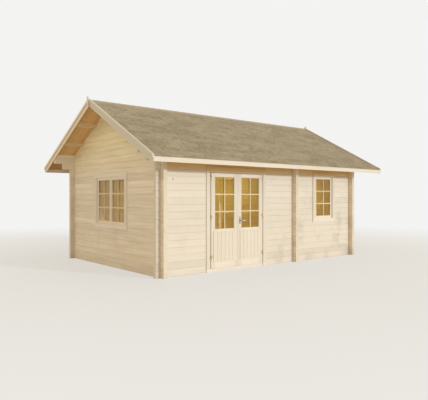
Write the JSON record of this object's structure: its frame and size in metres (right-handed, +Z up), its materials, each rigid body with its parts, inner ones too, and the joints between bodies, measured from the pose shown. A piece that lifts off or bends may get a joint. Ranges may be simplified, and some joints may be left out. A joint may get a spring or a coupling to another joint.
{
  "type": "log cabin",
  "caption": "Two-room garden log cabin with notched log walls, gable roof with shingles, glazed double door and barred windows.",
  "frame": {"origin": "on the ground under the middle of the cabin's plan", "axes": "+X along the ridge to the right of someone who faces the doors from outside, +Y from the front wall with the doors to the back wall, +Z up"},
  "size_m": [6.848, 4.954, 3.5455],
  "materials": {
    "log_wood": "planed, untreated spruce",
    "joinery_wood": "planed, untreated spruce",
    "roof_wood": "planed boards",
    "floor_wood": "planed boards",
    "shingles": "gritted bitumen shingles",
    "glass": "clear",
    "steel": "brushed"
  },
  "bodies": {
    "cabin": {"back_plate": "log_wood", "back_wall": "log_wood", "barge_boards_left": "joinery_wood", "barge_boards_right": "joinery_wood", "barge_strips": "joinery_wood", "door_casing": "joinery_wood", "door_frame": "joinery_wood", "fascia_boards": "joinery_wood", "finials": "joinery_wood", "floor_joists": "floor_wood", "frame_hinges": "steel", "front_plate": "log_wood", "front_wall_left": "log_wood", "front_wall_over_door": "log_wood", "front_wall_right": "log_wood", "front_window_casing": "joinery_wood", "front_window_frame": "joinery_wood", "front_window_glass": "glass", "front_window_sash": "joinery_wood", "gable_window_casing": "joinery_wood", "gable_window_frame": "joinery_wood", "gable_window_glass": "glass", "gable_window_sash": "joinery_wood", "left_gable": "log_wood", "left_wall": "log_wood", "main_room_floor": "floor_wood", "partition_back": "log_wood", "partition_front": "log_wood", "partition_gable": "log_wood", "partition_over_doorway": "log_wood", "ridge_cap": "shingles", "ridge_purlin": "log_wood", "right_gable": "log_wood", "right_wall": "log_wood", "roof_boards_back": "roof_wood", "roof_boards_front": "roof_wood", "shingles_back": "shingles", "shingles_front": "shingles", "side_purlins": "log_wood", "side_room_floor": "floor_wood"},
    "left_leaf": {"left_leaf_frame": "joinery_wood", "left_leaf_glass": "glass", "left_leaf_hinges": "steel", "left_leaf_panel": "joinery_wood"},
    "right_leaf": {"right_leaf_frame": "joinery_wood", "right_leaf_glass": "glass", "right_leaf_hinges": "steel", "right_leaf_panel": "joinery_wood", "door_handle": "steel"}
  },
  "joints": [
    {"name": "left_leaf_hinge", "type": "hinge", "parent": "cabin", "child": "left_leaf", "pos_m": [-1.733, -1.9515, 1], "axis": [0, 0, -1], "range_deg": [0, 170]},
    {"name": "right_leaf_hinge", "type": "hinge", "parent": "cabin", "child": "right_leaf", "pos_m": [-0.323, -1.9515, 1], "axis": [0, 0, 1], "range_deg": [0, 170]}
  ]
}
